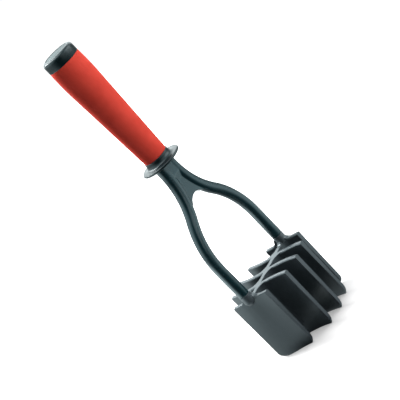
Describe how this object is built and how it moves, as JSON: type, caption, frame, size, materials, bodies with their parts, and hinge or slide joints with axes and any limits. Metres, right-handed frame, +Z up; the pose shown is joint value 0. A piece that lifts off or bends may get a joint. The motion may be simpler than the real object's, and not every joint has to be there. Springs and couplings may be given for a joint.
{
  "type": "hand masher",
  "caption": "Rigid hand masher for ground meat: curved parallel blades on a wishbone fork, guard collar, soft tapered grip with a glossy end cap.",
  "frame": {"origin": "centre of the blade head on the surface it stands on", "axes": "+Z up the handle, the fork spreads along Y, the blades run mainly along X"},
  "size_m": [0.0588, 0.0706, 0.27],
  "materials": {
    "blade_nylon": "satin black heat-resistant nylon",
    "fork_nylon": "semi-gloss dark teal-black nylon",
    "gloss_trim": "high-gloss black plastic",
    "core_plastic": "plain moulded polypropylene, hidden",
    "soft_grip": "matte red thermoplastic elastomer",
    "cap_inlay": "pale grey satin disc, bare",
    "screw_steel": "zinc-plated steel, hidden"
  },
  "bodies": {
    "root": {"blade_head": "blade_nylon", "fork": "fork_nylon", "guard_collar": "gloss_trim", "handle_core": "core_plastic", "grip_sleeve": "soft_grip", "end_cap": "gloss_trim", "cap_disc": "cap_inlay", "tang_screw": "screw_steel", "screw_washer": "screw_steel"}
  },
  "joints": []
}
